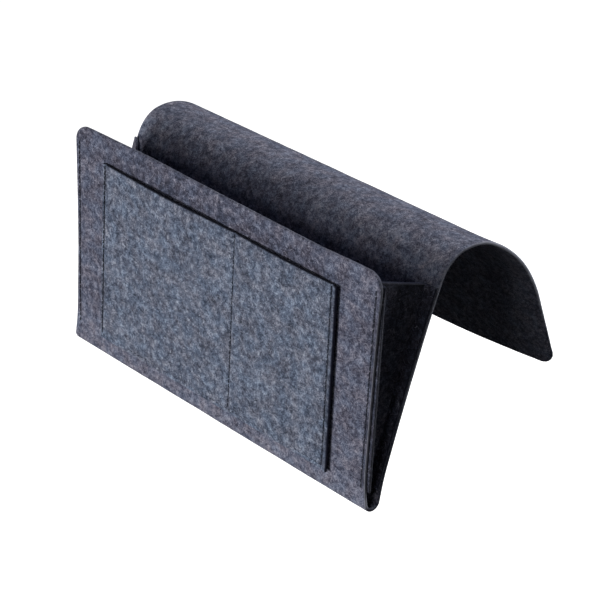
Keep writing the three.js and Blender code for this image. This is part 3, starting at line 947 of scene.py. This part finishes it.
def stitches(name, lines, node, body, sink=STITCH_SINK):
    """Stitches along straight lines. A line has its two ends on the felt's face and the way out of it."""
    points, polygons = [], []
    ring_turns = np.linspace(0, 2 * math.pi, STITCH_SIDES, endpoint=False)
    for start, end, out in lines:
        start, end, out = (np.array(value, float) for value in (start, end, out))
        length = np.linalg.norm(end - start)
        run = (end - start) / length
        side = np.cross(run, out)
        count = round(length / STITCH)
        pitch = length / count
        for number in range(count):
            first = len(points)
            for share in np.linspace(0, 1, STITCH_RINGS):
                rise = STITCH_ARCH * (1 - (2 * share - 1) ** 4) - sink
                thick = THREAD / 2 * (1 - STITCH_TAPER * (2 * share - 1) ** 6)
                reach = number + STITCH_GAP + (1 - 2 * STITCH_GAP) * share
                centre = start + run * pitch * reach + out * rise
                for turn in ring_turns:
                    round_it = side * math.cos(turn) + THREAD_FLATNESS * out * math.sin(turn)
                    points.append(centre + thick * round_it)
            for ring in range(STITCH_RINGS - 1):
                low = first + ring * STITCH_SIDES
                above = low + STITCH_SIDES
                for corner in range(STITCH_SIDES):
                    after = (corner + 1) % STITCH_SIDES
                    polygons.append((low + corner, low + after, above + after, above + corner))
            polygons.append(tuple(first + corner for corner in reversed(range(STITCH_SIDES))))
            top = first + (STITCH_RINGS - 1) * STITCH_SIDES
            polygons.append(tuple(top + corner for corner in range(STITCH_SIDES)))
    mesh = bpy.data.meshes.new(name)
    mesh.from_pydata([tuple(point) for point in points], [], polygons)
    mesh.shade_smooth()
    mesh.materials.append(thread_material)
    piece = placed(name, mesh)
    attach(piece, body)
    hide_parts(node)


front_out = (0, -1, 0)
for name, seam, sink in (
    ("pocket_left", left_seam_x, STITCH_SINK),
    ("pocket_divider", divider_x, DIVIDER_SINK),
    ("pocket_right", right_seam_x, RIGHT_SINK),
):
    ends = [on_pocket(np.array(seam), np.array(drop), FELT / 2) for drop in pocket_seam]
    stitches(f"{name}_stitches", [(*ends, front_out)], f"{name}_seam", "front", sink)
bottom_ends = [
    on_pocket(np.array(seam), np.array(bottom_seam_drop), FELT / 2) for seam in (left_seam_x, right_seam_x)
]
stitches("pocket_bottom_stitches", [(*bottom_ends, front_out)], "pocket_bottom_seam", "front", BOTTOM_SINK)
back_out = tuple(BACK_NORMAL)
for name, side in (("left", -1), ("right", 1)):
    front_ends = [on_sheet(side * seam_x, np.array(along), FELT / 2) for along in front_seam]
    sink = RIGHT_SINK if side > 0 else STITCH_SINK
    stitches(f"{name}_front_stitches", [(*front_ends, front_out)], f"{name}_front_seam", "front", sink)
    back_ends = [on_sheet(side * seam_x, np.array(along), FELT / 2) for along in back_seam]
    stitches(f"{name}_back_stitches", [(*back_ends, back_out)], f"{name}_back_seam", "back")


# Floor and studio. A plain white floor well below the hanging caddy, a softbox low in front on the left, a
# weak one above it, two behind, high up and low on the right, a faint one on the right and a faint even fill.
# The camera stands where the photograph was taken from.

FLOOR_DROP = 0.6
FLOOR_HALF = 30.0
FLOOR_GLOW = 0.9


def seen_ray(tree):
    """1 for the rays that show a background, straight or in a reflection, and 0 for those that only light."""
    rays = add(tree, "ShaderNodeLightPath")
    straight = add(
        tree, "ShaderNodeMath", {0: rays.outputs["Is Camera Ray"], 1: rays.outputs["Is Glossy Ray"]},
        operation="MAXIMUM",
    )
    seen = add(
        tree, "ShaderNodeMath", {0: straight.outputs[0], 1: rays.outputs["Is Transmission Ray"]},
        operation="MAXIMUM",
    )
    return seen.outputs[0]


def white_floor():
    """White paper that is seen as white, but throws little light back up at the caddy."""
    material, tree = new_material("white_floor")
    paper = add(tree, "ShaderNodeBsdfDiffuse", {"Color": linear("#e8e8e8")})
    glow = add(tree, "ShaderNodeEmission", {"Color": (1, 1, 1, 1), "Strength": FLOOR_GLOW})
    lit = add(tree, "ShaderNodeAddShader", {0: paper.outputs[0], 1: glow.outputs[0]})
    dim = add(tree, "ShaderNodeBsdfDiffuse", {"Color": linear("#303030")})
    floor = add(tree, "ShaderNodeMixShader", {0: seen_ray(tree), 1: dim.outputs[0], 2: lit.outputs[0]})
    add(tree, "ShaderNodeOutputMaterial", {"Surface": floor.outputs[0]})
    return material


floor_z = cad_box[0][2] - FLOOR_DROP
floor_mesh = bpy.data.meshes.new("floor")
floor_corners = [(x * FLOOR_HALF, y * FLOOR_HALF, floor_z) for x, y in ((-1, -1), (1, -1), (1, 1), (-1, 1))]
floor_mesh.from_pydata(floor_corners, [], [(0, 1, 2, 3)])
floor_mesh.materials.append(white_floor())
floor = placed("floor", floor_mesh)

FILL = 0.004
world = bpy.data.worlds.new("studio")
world.use_nodes = True
world.node_tree.nodes.clear()
strength = add(
    world.node_tree, "ShaderNodeMapRange",
    {"Value": seen_ray(world.node_tree), "To Min": FILL, "To Max": 1.0},
)
sky = add(
    world.node_tree, "ShaderNodeBackground",
    {"Color": (1, 1, 1, 1), "Strength": strength.outputs["Result"]},
)
add(world.node_tree, "ShaderNodeOutputWorld", {"Surface": sky.outputs[0]})
bpy.context.scene.world = world


def softbox(name, azimuth, elevation, distance, width, height, power):
    """An area lamp that looks at the caddy from a direction given as for the views."""
    turn, rise = math.radians(azimuth), math.radians(elevation)
    away = Vector((math.sin(turn) * math.cos(rise), -math.cos(turn) * math.cos(rise), math.sin(rise)))
    lamp = bpy.data.lights.new(name, "AREA")
    lamp.shape = "RECTANGLE"
    lamp.size = width
    lamp.size_y = height
    lamp.energy = power
    box = placed(name, lamp)
    centre = (Vector(cad_box[0]) + Vector(cad_box[1])) / 2
    box.location = centre + away * distance
    box.rotation_euler = (-away).to_track_quat("-Z", "Y").to_euler()


softbox("front_softbox", azimuth=-13, elevation=-5, distance=2.5, width=0.6, height=0.3, power=47)
softbox("upper_softbox", azimuth=8, elevation=27, distance=2.5, width=1.0, height=0.4, power=9.5)
softbox("rear_softbox", azimuth=172, elevation=54, distance=2.0, width=0.3, height=1.2, power=32)
softbox("low_rear_softbox", azimuth=162, elevation=15, distance=2.0, width=0.3, height=0.4, power=14)
softbox("right_softbox", azimuth=66, elevation=-8, distance=2.0, width=0.5, height=0.5, power=1.0)

PHOTO_LENS = 112.6
SENSOR_WIDTH = 36
CAMERA_PLACE = Vector((0.87855, -0.93334, 0.60132))
CAMERA_RIGHT = Vector((0.70726, 0.70510, 0.05122)).normalized()
CAMERA_BACK = Vector((0.59952, -0.63660, 0.48509)).normalized()
camera_up = CAMERA_BACK.cross(CAMERA_RIGHT).normalized()
camera_right = camera_up.cross(CAMERA_BACK)
camera_data = bpy.data.cameras.new("photo_camera")
camera_data.lens = PHOTO_LENS
camera_data.sensor_width = SENSOR_WIDTH
camera = placed("photo_camera", camera_data)
camera_turn = Matrix((camera_right, camera_up, CAMERA_BACK)).transposed()
camera.matrix_world = Matrix.Translation(CAMERA_PLACE) @ camera_turn.to_4x4()
bpy.context.scene.camera = camera
bpy.context.scene.view_settings.view_transform = "Standard"
